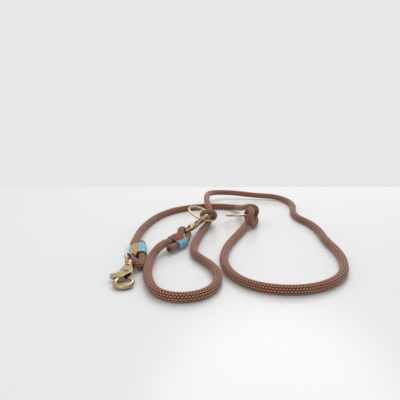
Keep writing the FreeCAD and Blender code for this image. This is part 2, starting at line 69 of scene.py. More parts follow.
def addNode(tree, kind, settings=None, inputs=None, stops=()):
    # a node with its settings, its values and links, and a colour ramp's stops
    node = tree.nodes.new(kind)
    for name, value in (settings or {}).items():
        setattr(node, name, value)
    for name, value in (inputs or {}).items():
        if isinstance(value, bpy.types.NodeSocket):
            tree.links.new(value, node.inputs[name])
        else:
            node.inputs[name].default_value = value
    if stops:
        band = node.color_ramp.elements
        while len(band) < len(stops):
            band.new(1.0)
        for element, (place, hexText) in zip(band, stops):
            element.position = place
            element.color = linearColour(hexText)
    return node


def newMaterial(name, surface):
    material = bpy.data.materials.new(name)
    material.use_nodes = True
    tree = material.node_tree
    shader = tree.nodes["Principled BSDF"]
    for socket, value in surface.items():
        shader.inputs[socket].default_value = value
    return material, tree, shader


def perMetre(size):
    # a pattern's scale from a real size in millimetres
    return 1 / (size * mm)


def smoothStep(share):
    return share * share * (3 - 2 * share)


def asVectors(places):
    return [Vector(place) for place in places]


def deselectAll():
    for thing in bpy.context.selected_objects:
        thing.select_set(False)


def makeActive(thing):
    deselectAll()
    thing.select_set(True)
    bpy.context.view_layer.objects.active = thing


def applyModifier(thing, kind, **settings):
    modifier = thing.modifiers.new(kind.title(), kind)
    for name, value in settings.items():
        setattr(modifier, name, value)
    makeActive(thing)
    bpy.ops.object.modifier_apply(modifier=modifier.name)


def editWhole(thing, operator, **settings):
    # one operator of edit mode on the whole mesh
    makeActive(thing)
    bpy.ops.object.mode_set(mode="EDIT")
    bpy.ops.mesh.select_all(action="SELECT")
    operator(**settings)
    bpy.ops.object.mode_set(mode="OBJECT")


def addBox(name, width, depth, height):
    deselectAll()
    bpy.ops.mesh.primitive_cube_add(size=1.0, location=(0, 0, 0))
    box = bpy.context.object
    box.name = name
    box.data.transform(Matrix.Diagonal((width, depth, height, 1)))
    return box


def meshObject(name, vertices, faces):
    mesh = bpy.data.meshes.new(name)
    mesh.from_pydata(vertices, [], faces)
    mesh.update()
    thing = bpy.data.objects.new(name, mesh)
    bpy.context.scene.collection.objects.link(thing)
    return thing


def finishPiece(thing, material, body, nodes):
    # smooth, dressed, riding with its body and standing for its nodes
    thing.data.polygons.foreach_set("use_smooth", [True] * len(thing.data.polygons))
    thing.data.materials.clear()
    thing.data.materials.append(material)
    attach(thing, body)
    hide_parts(*nodes)


def frameAt(origin, along, up):
    # X runs along, Z as near to up as it can be
    axisX = Vector(along).normalized()
    axisY = Vector(up).cross(axisX).normalized()
    axisZ = axisX.cross(axisY)
    matrix = Matrix((axisX, axisY, axisZ)).transposed().to_4x4()
    matrix.translation = Vector(origin)
    return matrix


# Camera at the photograph's height and tilt

cameraFacts = {
    "place": (-0.038, -0.544, 0.174),
    "tiltDegrees": 76.77,       # from straight down
    "lens": 36.0,               # mm
    "field": 36.0,              # mm
    "nearest": 0.01,
}


def makeCamera(facts):
    camera = bpy.data.cameras.new("camera")
    camera.lens = facts["lens"]
    camera.sensor_width = facts["field"]
    camera.clip_start = facts["nearest"]
    holder = bpy.data.objects.new("camera", camera)
    holder.location = facts["place"]
    holder.rotation_euler = (math.radians(facts["tiltDegrees"]), 0, 0)
    bpy.context.scene.collection.objects.link(holder)
    bpy.context.scene.camera = holder


makeCamera(cameraFacts)
print("camera made")


# Materials: sizes are in mm, and stops are places on a colour ramp

braidFacts = {
    "surface": {
        "Roughness": 0.72,
        "Sheen Weight": 0.25,
        "Sheen Roughness": 0.5,
        "Specular IOR Level": 0.3,
    },
    "floatShadeAndHighlightStops": [(0.22, "#1d0e0a"), (0.5, "#8b604d"), (0.8, "#d6ad95")],   # painted shade in the gap, side, painted highlight on the crown
    "toneStops": [(0.15, "#6f6246"), (0.5, "#8b604d"), (0.85, "#8a4f42")],   # olive, brown, red
    "toneShare": 0.75,
    "patch": 22.222,            # faded and soiled patches
    "patchShare": 0.35,
    "filament": 0.22,           # bundle of filaments, as coarse as it needs to show
    "stretch": 0.3,             # how much slower the bundles change along the rope
    "reliefStrength": 0.55,
    "reliefDepth": 0.15,
}
metalFacts = {
    # Die-cast zinc, brass plated and tumbled: warm satin metal, dark brown in the recesses from
    # painted shade and patina
    "antiqueBrass": {"dark": "#3d2f1e", "light": "#bba57f", "roughness": 0.27},
    # Drawn wire, brass plated and tumbled: paler and evener
    "paleBrass": {"dark": "#6f5c41", "light": "#c5b38e", "roughness": 0.25},
    # Drawn spring steel, left bare: grey and a little duller
    "springSteel": {"dark": "#5d5b58", "light": "#9c9a96", "roughness": 0.35},
    "darkUpTo": 0.2,
    "lightFrom": 0.75,
    "cloud": 4.0,               # uneven plating
    "cloudShare": 0.5,
    "edgeShare": 4.0,           # wear on the edges, which stand out by their pointiness
    "edgeLevel": -1.6,          # leaves 0.4 on a flat face, whose pointiness is 0.5
    "corner": 2.5,              # how far the painted shade and the patina reach out of a corner
    "cornerShadeSamples": 8,
    "grain": 0.6,               # tumbling marks
    "grainGloss": (-0.08, 0.14),   # what they add to the roughness, from least to most
    "grainStrength": 0.12,
    "grainDepth": 0.1,
}
twineFacts = {
    "surface": {"Roughness": 0.5, "Sheen Weight": 0.2},
    "stops": [(0.35, "#5b9db0"), (0.9, "#8fc4d2")],
    "roundUnits": 2.0,          # units of the ridges' pattern round the twine
    "unit": 0.8,                # one unit along the twine
    "waves": 0.3,               # the pattern's own scale: a ridge to about two units
    # how much painted shade the grooves between the plies get, and painted light the ridges
    "plyShadeShare": 0.5,
    "plyStrength": 0.5,
    "plyDepth": 0.08,
    "cloud": 6.25,              # uneven wax
}
leatherFacts = {
    "surface": {"Roughness": 0.55, "Specular IOR Level": 0.2},
    "tanStops": [(0.3, "#bd7a3a"), (0.65, "#d8984f")],
    "rustStops": [(0.3, "#6a2a10"), (0.65, "#99431c")],
    "cloud": 4.0,               # handled patches
    "pore": 0.45,
    "poreStrength": 0.4,
    "poreDepth": 0.1,
}

# The Mix node's sockets for colours, whose names its other sockets have too
mixShare, mixFirst, mixSecond, mixResult = 0, 6, 7, 2


def braidMaterial(facts):
    # Polypropylene multifilament, round braid: matt, a soft sheen, painted shade in the gaps
    # between the floats and a painted highlight on their crowns
    material, tree, shader = newMaterial("braided_polypropylene", facts["surface"])
    stitch = addNode(tree, "ShaderNodeAttribute", {"attribute_name": "stitch"})
    tone = addNode(tree, "ShaderNodeAttribute", {"attribute_name": "tone"})
    uv = addNode(tree, "ShaderNodeUVMap", {"uv_map": "alongRope"})
    place = addNode(tree, "ShaderNodeTexCoord")
    # the float's height sets its colour: painted shade in the gaps, painted highlight on the
    # crown
    shade = addNode(
        tree, "ShaderNodeValToRGB", None, {"Fac": stitch.outputs["Fac"]}, facts["floatShadeAndHighlightStops"]
    )
    tint = addNode(
        tree, "ShaderNodeValToRGB", None, {"Fac": tone.outputs["Fac"]}, facts["toneStops"]
    )
    coloured = addNode(
        tree, "ShaderNodeMix", {"data_type": "RGBA", "blend_type": "SOFT_LIGHT"},
        {
            mixShare: facts["toneShare"],
            mixFirst: shade.outputs["Color"],
            mixSecond: tint.outputs["Color"],
        },
    )
    patches = addNode(
        tree, "ShaderNodeTexNoise", None,
        {"Vector": place.outputs["Object"], "Scale": perMetre(facts["patch"]), "Detail": 3.0},
    )
    worn = addNode(
        tree, "ShaderNodeMix", {"data_type": "RGBA", "blend_type": "OVERLAY"},
        {
            mixShare: facts["patchShare"],
            mixFirst: coloured.outputs[mixResult],
            mixSecond: patches.outputs["Color"],
        },
    )
    tree.links.new(worn.outputs[mixResult], shader.inputs["Base Color"])
    across = perMetre(facts["filament"])
    stretched = addNode(
        tree, "ShaderNodeMapping", None,
        {"Vector": uv.outputs["UV"], "Scale": (across, facts["stretch"] * across, 1)},
    )
    filaments = addNode(
        tree, "ShaderNodeTexNoise", None,
        {"Vector": stretched.outputs["Vector"], "Scale": 1.0, "Detail": 2.0},
    )
    relief = addNode(
        tree, "ShaderNodeBump", None,
        {
            "Height": filaments.outputs["Fac"],
            "Strength": facts["reliefStrength"],
            "Distance": facts["reliefDepth"] * mm,
        },
    )
    tree.links.new(relief.outputs["Normal"], shader.inputs["Normal"])
    return material


def metalMaterial(name, facts, finish):
    # Satin metal, lighter on its worn edges, and darker in its recesses by painted shade and
    # patina
    roughness = finish["roughness"]
    material, tree, shader = newMaterial(name, {"Metallic": 1.0, "Roughness": roughness})
    place = addNode(tree, "ShaderNodeTexCoord")
    cloud = addNode(
        tree, "ShaderNodeTexNoise", None,
        {
            "Vector": place.outputs["Object"],
            "Scale": perMetre(facts["cloud"]),
            "Detail": 4.0,
            "Roughness": 0.6,
        },
    )
    edge = addNode(tree, "ShaderNodeNewGeometry")
    worn = addNode(
        tree, "ShaderNodeMath", {"operation": "MULTIPLY_ADD"},
        {0: edge.outputs["Pointiness"], 1: facts["edgeShare"], 2: facts["edgeLevel"]},
    )
    both = addNode(
        tree, "ShaderNodeMath", {"operation": "MULTIPLY_ADD", "use_clamp": True},
        {0: cloud.outputs["Fac"], 1: facts["cloudShare"], 2: worn.outputs["Value"]},
    )
    # Painted shade: ambient occlusion darkens the corners and recesses, for the shade there and
    # for the patina that stays where the tumbling doesn't reach
    corner = addNode(
        tree, "ShaderNodeAmbientOcclusion", {"samples": facts["cornerShadeSamples"]},
        {"Distance": facts["corner"] * mm},
    )
    polishedAndShaded = addNode(
        tree, "ShaderNodeMath", {"operation": "MULTIPLY"},
        {0: both.outputs["Value"], 1: corner.outputs["AO"]},
    )
    # the ramp's dark end takes the painted shade of the corners as well as the uneven plating
    colour = addNode(
        tree, "ShaderNodeValToRGB", None, {"Fac": polishedAndShaded.outputs["Value"]},
        [(facts["darkUpTo"], finish["dark"]), (facts["lightFrom"], finish["light"])],
    )
    tree.links.new(colour.outputs["Color"], shader.inputs["Base Color"])
    marks = addNode(
        tree, "ShaderNodeTexNoise", None,
        {"Vector": place.outputs["Object"], "Scale": perMetre(facts["grain"]), "Detail": 5.0},
    )
    glossier, duller = facts["grainGloss"]
    gloss = addNode(
        tree, "ShaderNodeMapRange", None,
        {
            "Value": marks.outputs["Fac"],
            "To Min": roughness + glossier,
            "To Max": roughness + duller,
        },
    )
    tree.links.new(gloss.outputs["Result"], shader.inputs["Roughness"])
    relief = addNode(
        tree, "ShaderNodeBump", None,
        {
            "Height": marks.outputs["Fac"],
            "Strength": facts["grainStrength"],
            "Distance": facts["grainDepth"] * mm,
        },
    )
    tree.links.new(relief.outputs["Normal"], shader.inputs["Normal"])
    return material


def twineMaterial(facts):
    # Waxed polyester twine, two plies twisted: smooth with small slanted ridges, darker in the
    # grooves between them by painted shade
    material, tree, shader = newMaterial("waxed_twine", facts["surface"])
    uv = addNode(tree, "ShaderNodeUVMap", {"uv_map": "alongTwine"})
    slanted = addNode(
        tree, "ShaderNodeMapping", None,
        {"Vector": uv.outputs["UV"], "Scale": (facts["roundUnits"], perMetre(facts["unit"]), 1)},
    )
    ply = addNode(
        tree, "ShaderNodeTexWave", {"bands_direction": "DIAGONAL"},
        {
            "Vector": slanted.outputs["Vector"],
            "Scale": facts["waves"],
            "Distortion": 0.6,
            "Detail": 1.0,
        },
    )
    place = addNode(tree, "ShaderNodeTexCoord")
    cloud = addNode(
        tree, "ShaderNodeTexNoise", None,
        {"Vector": place.outputs["Object"], "Scale": perMetre(facts["cloud"]), "Detail": 2.0},
    )
    # the ridges' height also sets the colour: painted shade in the grooves between the plies,
    # over the uneven wax
    both = addNode(
        tree, "ShaderNodeMath", {"operation": "MULTIPLY_ADD"},
        {0: ply.outputs["Fac"], 1: facts["plyShadeShare"], 2: cloud.outputs["Fac"]},
    )
    colour = addNode(
        tree, "ShaderNodeValToRGB", None, {"Fac": both.outputs["Value"]}, facts["stops"]
    )
    tree.links.new(colour.outputs["Color"], shader.inputs["Base Color"])
    relief = addNode(
        tree, "ShaderNodeBump", None,
        {
            "Height": ply.outputs["Fac"],
            "Strength": facts["plyStrength"],
            "Distance": facts["plyDepth"] * mm,
        },
    )
    tree.links.new(relief.outputs["Normal"], shader.inputs["Normal"])
    return material


def leatherMaterial(name, facts, stops):
    # Vegetable-tanned leather, cut by hand: fine pores, slightly polished, darker where handled
    material, tree, shader = newMaterial(name, facts["surface"])
    place = addNode(tree, "ShaderNodeTexCoord")
    pores = addNode(
        tree, "ShaderNodeTexVoronoi", None,
        {"Vector": place.outputs["Object"], "Scale": perMetre(facts["pore"])},
    )
    cloud = addNode(
        tree, "ShaderNodeTexNoise", None,
        {"Vector": place.outputs["Object"], "Scale": perMetre(facts["cloud"]), "Detail": 6.0},
    )
    colour = addNode(tree, "ShaderNodeValToRGB", None, {"Fac": cloud.outputs["Fac"]}, stops)
    tree.links.new(colour.outputs["Color"], shader.inputs["Base Color"])
    relief = addNode(
        tree, "ShaderNodeBump", None,
        {
            "Height": pores.outputs["Distance"],
            "Strength": facts["poreStrength"],
            "Distance": facts["poreDepth"] * mm,
        },
    )
    tree.links.new(relief.outputs["Normal"], shader.inputs["Normal"])
    return material


braid = braidMaterial(braidFacts)
twine = twineMaterial(twineFacts)
tanLeather = leatherMaterial("tan_leather", leatherFacts, leatherFacts["tanStops"])
rustLeather = leatherMaterial("rust_leather", leatherFacts, leatherFacts["rustStops"])
antiqueBrass = metalMaterial("antique_brass", metalFacts, metalFacts["antiqueBrass"])
paleBrass = metalMaterial("pale_brass_wire", metalFacts, metalFacts["paleBrass"])
springSteel = metalMaterial("spring_steel", metalFacts, metalFacts["springSteel"])
print("materials made")


# Rope, all in metres

ropeFacts = {
    "radius": 0.0050,
    "tightRadius": 0.0043,      # in knots and folds, drawn hard
    "bareRadius": 0.0007,       # how much lower than that radius the floats start
    "floatHeight": 0.0007,
    "floatEdge": 0.75,          # how much of its height a float loses towards its sides
    "columns": 12,              # floats around the braid, tilted left and right in turn
    "sides": 48,
    "pitch": 0.0030,            # from one float to the next, a little coarser than real, to show
    "tilt": 0.85,
    "toneSteps": (3.7, 1.3),    # from one float to the next in the noise that gives their tones
    "ringsPerPitch": 6,
    "lineOrder": 3,             # a smooth line that cuts its places' corners a little
    "lineParts": 20,            # between two places of the line
    "ease": 0.009,              # over which the rope swells from tight to free
    "cutRadius": 0.0049,        # at the cut ends, out of the whipping's grip
    "swell": 0.014,
    "melt": 0.0015,             # rounding of the melted cut ends
    "meltDegrees": (68, 45, 22),
    "meltCore": 0.55,
    "endHeight": 0.2,           # shade and tone in the middle of an end
    "endTone": 0.5,
}

# The stretches take the part's own route. The knots, drawn up round a ring's wire, and the
# last places beside a knot or a fold follow the photograph.
ropeRoutes = {
    "rope_short_side": asVectors([
        (-0.1208, -0.048, 0.0052), (-0.121, -0.02, 0.005), (-0.117, 0.014, 0.005),
        (-0.1065, 0.058, 0.005), (-0.084, 0.099, 0.005), (-0.048, 0.123, 0.005),
        (-0.008, 0.129, 0.005), (0.022, 0.118, 0.0055), (0.0275, 0.097, 0.0099),
    ]),
    "knot_2": asVectors([
        (0.0310, 0.075, 0.0156), (0.0330, 0.055, 0.0224), (0.0368, 0.034, 0.0284),
        (0.0446, 0.034, 0.0268), (0.0488, 0.046, 0.0178), (0.0466, 0.050, 0.0115),
        (0.0463, 0.042, 0.0074), (0.0451, 0.024, 0.0071), (0.0368, 0.010, 0.0055),
        (0.0329, 0.006, 0.0139), (0.0358, 0.010, 0.0224), (0.0380, 0.024, 0.0265),
        (0.0356, 0.040, 0.0228), (0.0320, 0.044, 0.0139), (0.0333, 0.027, 0.0078),
        (0.0272, 0.013, 0.0054),
    ]),
    "rope_main_run": asVectors([
        (0.0226, -0.007, 0.0065), (0.01, -0.036, 0.005), (-0.003, -0.07, 0.005),
        (-0.0095, -0.099, 0.005), (-0.012, -0.128, 0.005), (-0.006, -0.162, 0.005),
        (0.013, -0.188, 0.005), (0.046, -0.198, 0.005), (0.08, -0.19, 0.005),
        (0.107, -0.166, 0.005), (0.121, -0.133, 0.005), (0.127, -0.094, 0.005),
        (0.124, -0.053, 0.005), (0.128, -0.015, 0.005), (0.125, 0.024, 0.005),
        (0.112, 0.057, 0.005), (0.114, 0.093, 0.005), (0.124, 0.128, 0.005),
        (0.123, 0.169, 0.005), (0.105, 0.199, 0.006), (0.066, 0.201, 0.008),
        (0.026, 0.211, 0.011), (-0.01, 0.201, 0.014), (-0.0245, 0.168, 0.0181),
        (-0.0269, 0.122, 0.0189), (-0.0256, 0.088, 0.0195),
    ]),
    "knot_1": asVectors([
        (-0.0239, 0.064, 0.0198), (-0.0229, 0.052, 0.0149), (-0.0237, 0.044, 0.0092),
        (-0.0282, 0.038, 0.0080), (-0.0341, 0.028, 0.0114), (-0.0346, 0.020, 0.0211),
        (-0.0256, 0.014, 0.0257), (-0.0169, 0.019, 0.0222), (-0.0168, 0.028, 0.0121),
        (-0.0226, 0.038, 0.0077), (-0.0240, 0.028, 0.0098), (-0.0249, 0.014, 0.0101),
    ]),
    "rope_hand_loop": asVectors([
        (-0.0291, 0.005, 0.0064), (-0.0355, -0.014, 0.0049), (-0.041, -0.042, 0.005),
        (-0.046, -0.074, 0.005), (-0.0455, -0.1005, 0.005), (-0.036, -0.1185, 0.005),
        (-0.0245, -0.138, 0.005), (-0.019, -0.163, 0.005), (-0.022, -0.187, 0.005),
        (-0.0355, -0.2065, 0.005), (-0.0585, -0.213, 0.005), (-0.079, -0.202, 0.005),
        (-0.088, -0.18, 0.005), (-0.0933, -0.156, 0.005), (-0.094, -0.133, 0.005),
        (-0.0935, -0.114, 0.0066), (-0.088, -0.101, 0.011),
    ]),
}

# Folded ends: two legs under a whipping, and between them the bight through the snap's eye.
# Mouth, standing and cut are distances along the legs from the place of their frame.
foldFacts = {
    "legOffset": 0.005,
    "firstRun": 0.015,          # straight out of the fold, before the stretch bends
    "a": {
        "mouth": 0.0085,
        "standing": 0.0286,
        "cut": 0.0335,
        "bight": [
            (-0.1158, -0.1230, 0.0070), (-0.1176, -0.1320, 0.0066), (-0.1095, -0.1365, 0.0108),
            (-0.1022, -0.1425, 0.0058), (-0.1022, -0.1290, 0.0062),
        ],
        "legs": frameAt((-0.1095, -0.110, 0.0072), (-0.155, 0.988, 0), (0.26, 0.04, -0.97)),
    },
    "b": {
        "mouth": 0.004,
        "standing": 0.0240,
        "cut": 0.0355,
        "bight": [
            (-0.0640, -0.0450, 0.0155), (-0.0612, -0.0362, 0.0156), (-0.0520, -0.0370, 0.0086),
            (-0.0555, -0.0480, 0.0072),
        ],
        "legs": frameAt((-0.060, -0.0584, 0.0094), (-0.512, -0.859, 0), (0.40, -0.24, 0.88)),
    },
}


def foldPlaces(facts):
    # standing part, round the snap's eye, and back to the cut end
    legs = facts["legs"]
    offset = foldFacts["legOffset"]
    return [
        legs @ Vector((facts["standing"], -offset, 0)),
        legs @ Vector((-facts["mouth"], -offset, 0)),
        *asVectors(facts["bight"]),
        legs @ Vector((-facts["mouth"], offset, 0)),
        legs @ Vector((facts["cut"], offset, 0)),
    ]


def firstPlace(facts, fold):
    # where the stretch that comes out of a fold starts to bend
    return fold[0] + facts["legs"].to_3x3() @ Vector((foldFacts["firstRun"], 0, 0))


def splinePoints(points):
    # points of the rope's one smooth line, read from its spline
    curve = bpy.data.curves.new("rope_line", "CURVE")
    curve.dimensions = "3D"
    curve.resolution_u = ropeFacts["lineParts"]
    spline = curve.splines.new("NURBS")
    spline.points.add(len(points) - 1)
    for point, place in zip(spline.points, points):
        point.co = (*place, 1.0)
    spline.order_u = ropeFacts["lineOrder"]
    spline.use_endpoint_u = True
    holder = bpy.data.objects.new("rope_line", curve)
    bpy.context.scene.collection.objects.link(holder)
    bpy.context.view_layer.update()
    mesh = bpy.data.meshes.new_from_object(holder)
    found = [vertex.co.copy() for vertex in mesh.vertices]
    bpy.data.objects.remove(holder)
    bpy.data.meshes.remove(mesh)
    return found


def evenly(points, step):
    # the same line in equal steps
    found = [points[0].copy()]
    left = step
    for before, after in zip(points, points[1:]):
        run = (after - before).length
        while run >= left:
            before = before.lerp(after, left / run)
            found.append(before.copy())
            run = (after - before).length
            left = step
        left -= run
    return found


def evenFrames(points):
    # directions across the line, carried along without twist
    tangents = []
    for k in range(len(points)):
        before, after = points[max(k - 1, 0)], points[min(k + 1, len(points) - 1)]
        tangents.append((after - before).normalized())
    side = tangents[0].orthogonal().normalized()
    frames = []
    last = tangents[0]
    for tangent in tangents:
        side = last.rotation_difference(tangent) @ side
        side = (side - tangent * side.dot(tangent)).normalized()
        frames.append((tangent, side, tangent.cross(side)))
        last = tangent
    return frames


# One line from cut end to cut end, through the places of each piece
foldA = foldPlaces(foldFacts["a"])
foldB = foldPlaces(foldFacts["b"])
outOfA = firstPlace(foldFacts["a"], foldA)
outOfB = firstPlace(foldFacts["b"], foldB)
ropePieces = [
    ("rope_fold_a", foldA[::-1], True),
    ("rope_short_side", [outOfA, *ropeRoutes["rope_short_side"]], False),
    ("knot_2", ropeRoutes["knot_2"], True),
    ("rope_main_run", ropeRoutes["rope_main_run"], False),
    ("knot_1", ropeRoutes["knot_1"], True),
    ("rope_hand_loop", [*ropeRoutes["rope_hand_loop"], outOfB], False),
    ("rope_fold_b", foldB, True),
]
controlPoints = [point for name, points, isTight in ropePieces for point in points]
ringStep = ropeFacts["pitch"] / ropeFacts["ringsPerPitch"]
ropeLine = evenly(splinePoints(controlPoints), ringStep)
ropeFrames = evenFrames(ropeLine)


def nearestStep(place, start):
    # the step of the line that is nearest to a place, from a step onward
    return min(range(start, len(ropeLine)), key=lambda k: (ropeLine[k] - place).length)


def pieceSpans():
    # each piece's first and last step, where one piece hands over to the next
    spans = []
    start = 0
    for number, (name, points, isTight) in enumerate(ropePieces):
        if number == len(ropePieces) - 1:
            stop = len(ropeLine) - 1
        elif isTight:
            stop = nearestStep(points[-1], start)
        else:
            stop = nearestStep(ropePieces[number + 1][1][0], start)
        spans.append((name, start, stop, isTight))
        start = stop
    return spans


def ropeRadii(spans):
    # tight in the knots and folds, swelling to the cut ends and easing out to the free rope
    free, tight = ropeFacts["radius"], ropeFacts["tightRadius"]
    swellSteps = ropeFacts["swell"] / ringStep
    easeSteps = ropeFacts["ease"] / ringStep
    last = len(ropeLine) - 1
    radii = [tight] * len(ropeLine)
    for k in range(len(ropeLine)):
        gone = min(k, last - k) / swellSteps
        if gone < 1:
            radii[k] += (ropeFacts["cutRadius"] - tight) * (1 - smoothStep(gone))
    for name, start, stop, isTight in spans:
        if not isTight:
            for k in range(start, stop + 1):
                share = min(1.0, min(k - start, stop - k) / easeSteps)
                radii[k] = tight + (free - tight) * smoothStep(share)
    return radii


def floatAt(facts, column, across, along):
    # height of a float, from 0 in the gaps to 1 on its crown, and a steady random tone for it
    isOdd = column % 2
    lean = 1 if isOdd else -1
    turned = along + 0.5 * isOdd + lean * across * facts["tilt"]
    number = math.floor(turned)
    inside = turned - number - 0.5
    crown = (1 - facts["floatEdge"] * (2 * across) ** 2) * (1 - (2 * inside) ** 2)
    columnStep, numberStep = facts["toneSteps"]
    tone = noise.cell(Vector((column * columnStep + 0.5, number * numberStep + 0.5, 0.5)))
    return max(0.0, crown), tone


def tubeFaces(rings, sides):
    # quads from each ring of a tube to the next
    faces = []
    for k in range(rings - 1):
        low, high = k * sides, (k + 1) * sides
        for j in range(sides):
            following = (j + 1) % sides
            faces.append((low + j, low + following, high + following, high + j))
    return faces


def braidedTube(name, start, stop, radii, cutStart, cutStop):
    facts = ropeFacts
    sides = facts["sides"]
    perColumn = sides // facts["columns"]
    vertices, stitches, tones, alongs = [], [], [], []

    def addRing(k, shrink, shift):
        tangent, side, other = ropeFrames[k]
        centre = ropeLine[k] + tangent * shift
        along = k * ringStep + shift
        alongs.append(along)
        for j in range(sides):
            column, place = divmod(j, perColumn)
            across = place / perColumn - 0.5
            height, tone = floatAt(facts, column, across, along / facts["pitch"])
            turn = 2 * math.pi * j / sides
            radius = (radii[k] - facts["bareRadius"] + facts["floatHeight"] * height) * shrink
            vertices.append(centre + (side * math.cos(turn) + other * math.sin(turn)) * radius)
            # the height, which the material turns into painted shade in the gaps and painted
            # highlight on the crown
            stitches.append(height)
            tones.append(0.5 + 0.5 * tone)

    core = facts["meltCore"]
    bends = [math.radians(degrees) for degrees in facts["meltDegrees"]]
    if cutStart:
        for bend in reversed(bends):
            addRing(start, core + (1 - core) * math.sin(bend), -facts["melt"] * math.cos(bend))
    for k in range(start, stop + 1):
        addRing(k, 1.0, 0.0)
    if cutStop:
        for bend in bends:
            addRing(stop, core + (1 - core) * math.sin(bend), facts["melt"] * math.cos(bend))

    # Both ends close on a point in their middle
    rings = len(alongs)
    faces = tubeFaces(rings, sides)
    for ring, isFirst in ((0, True), (rings - 1, False)):
        rim = range(ring * sides, (ring + 1) * sides)
        hub = len(vertices)
        vertices.append(sum((vertices[corner] for corner in rim), Vector()) / sides)
        stitches.append(facts["endHeight"])
        tones.append(facts["endTone"])
        for j in range(sides):
            near, far = rim[j], rim[(j + 1) % sides]
            faces.append((hub, far, near) if isFirst else (hub, near, far))

    thing = meshObject(name + "_braid", vertices, faces)
    mesh = thing.data
    for attribute, values in (("stitch", stitches), ("tone", tones)):
        layer = mesh.attributes.new(attribute, "FLOAT", "POINT")
        layer.data.foreach_set("value", values)
    uv = mesh.uv_layers.new(name="alongRope")
    girth = 2 * math.pi * facts["radius"]
    for polygon in mesh.polygons:
        isQuad = len(polygon.vertices) == 4
        crossesSeam = isQuad and max(v % sides for v in polygon.vertices) == sides - 1
        for loop in polygon.loop_indices:
            ring, j = divmod(mesh.loops[loop].vertex_index, sides)
            turn = 1.0 if crossesSeam and j == 0 else j / sides
            uv.data[loop].uv = (turn * girth, alongs[min(ring, rings - 1)])
    return thing


spans = pieceSpans()
radii = ropeRadii(spans)
for name, start, stop, isTight in spans:
    tube = braidedTube(name, start, stop, radii, name == "rope_fold_a", name == "rope_fold_b")
    finishPiece(tube, braid, "rope", [name])
print("rope made", len(ropeLine))


# Whippings: twine wound round both legs of a fold

whippingFacts = {
    "span": {"a": (-0.006, 0.0245), "b": (0.002, 0.021)},   # along the legs, in their frame
    "inner": 0.0048,            # from the middle of a leg to the twine
    "twine": 0.00096,
    "overlap": 1.04,            # drawn that much thicker, so that the turns meet
    "wobble": 0.05,             # uneven thickness
    "wobblesPerMetre": 900,
    "stepsPerHalf": 14,
    "sides": 8,
}


def windingLine(facts, letter):
    # round one leg, over to the other, and back, a twine's width further each turn
    first, last = facts["span"][letter]
    turns = round((last - first) / facts["twine"]) - 1
    radius = facts["inner"] + facts["twine"] / 2
    steps = facts["stepsPerHalf"]
    offset = foldFacts["legOffset"]
    flat = 2 * offset
    half = math.pi * radius
    girth = 2 * (flat + half)
    line = []
    for turn in range(turns):
        gone = 0.0
        for sideSign in (1, -1):
            for step in range(steps):
                angle = math.pi * step / (steps - 1) - math.pi / 2
                x = sideSign * (offset + radius * math.cos(angle))
                y = sideSign * radius * math.sin(angle)
                share = (gone + half * step / (steps - 1)) / girth
                line.append(Vector((x, y, first + facts["twine"] * (0.5 + turn + share))))
            gone += half + flat
    return line


def twineTube(name, facts, line, matrix):
    sides = facts["sides"]
    radius = facts["twine"] / 2 * facts["overlap"]
    vertices, alongs = [], []
    gone = 0.0
    for k, (point, (tangent, side, other)) in enumerate(zip(line, evenFrames(line))):
        if k:
            gone += (point - line[k - 1]).length
        alongs.append(gone)
        wobble = 1 + facts["wobble"] * noise.noise(point * facts["wobblesPerMetre"])
        for j in range(sides):
            turn = 2 * math.pi * j / sides
            outward = (side * math.cos(turn) + other * math.sin(turn)) * radius * wobble
            vertices.append(matrix @ (point + outward))
    faces = tubeFaces(len(line), sides)
    faces.append(tuple(reversed(range(sides))))
    faces.append(tuple(range((len(line) - 1) * sides, len(line) * sides)))
    thing = meshObject(name, vertices, faces)
    uv = thing.data.uv_layers.new(name="alongTwine")
    for loop in thing.data.loops:
        ring, j = divmod(loop.vertex_index, sides)
        uv.data[loop.index].uv = (j / sides, alongs[ring])
    return thing


def whippingMatrix(letter):
    # X from leg to leg, Z back along the legs
    legs = foldFacts[letter]["legs"]
    back = legs.to_3x3() @ Vector((1, 0, 0))
    across = legs.to_3x3() @ Vector((0, 1, 0))
    return frameAt(legs.translation, across, back)


for letter in "ab":
    winding = twineTube(
        "whipping_%s_twine" % letter,
        whippingFacts,
        windingLine(whippingFacts, letter),
        whippingMatrix(letter),
    )
    finishPiece(winding, twine, "rope", ["whipping_" + letter])
print("whippings made")


# Leather tabs on the whippings

tabShape = {
    "thickness": 0.0012,
    "surface": 0.00585,         # from the middle of the legs out to the whipping's face
    "bevel": 0.00035,
    "bevelSteps": 3,
    "bevelOver": 0.7,           # radians between two faces
    "cuts": 10,
    "cornerFrom": 0.8,          # share of the half length past which the corners are cut off
    "cornerCut": 0.22,
    "pointFrom": 0.6,           # the same for the point
    "waver": 0.00012,           # edges cut by hand
    "waversPerMetre": 400,
    "curlTurn": 3.0,            # radians of a wave from the middle to an end
}
tabFacts = {
    "a": {
        "width": 0.0058,
        "length": 0.033,
        "shift": -0.0015,       # off the middle of the legs
        "start": -0.0108,       # along the legs, in their frame
        "side": -1,
        "point": 0.7,           # how much of its width it loses to its tip
        "droop": 0.5,           # how fast it sinks past the whipping
        "curl": 0.00008,
    },
    "b": {
        "width": 0.011,
        "length": 0.016,
        "shift": -0.0025,
        "start": 0.004,
        "side": 1,
        "point": 0.0,
        "droop": 0.0,
        "curl": 0.0002,
    },
}


def cutTab(place, facts, shape):
    # narrower at the corners and to the tip, with the waver of a hand cut
    gone = place.z / (facts["length"] / 2)
    corner = max(0.0, abs(gone) - shape["cornerFrom"]) / (1 - shape["cornerFrom"])
    narrow = 1 - shape["cornerCut"] * corner ** 2
    if place.z < 0:
        toTip = max(0.0, (-gone - shape["pointFrom"]) / (1 - shape["pointFrom"]))
        narrow -= facts["point"] * toTip
    place.x *= narrow
    noisePlace = Vector((7.0, place.z * shape["waversPerMetre"], 3.0))   # any line will do
    place.x += shape["waver"] * noise.noise(noisePlace)


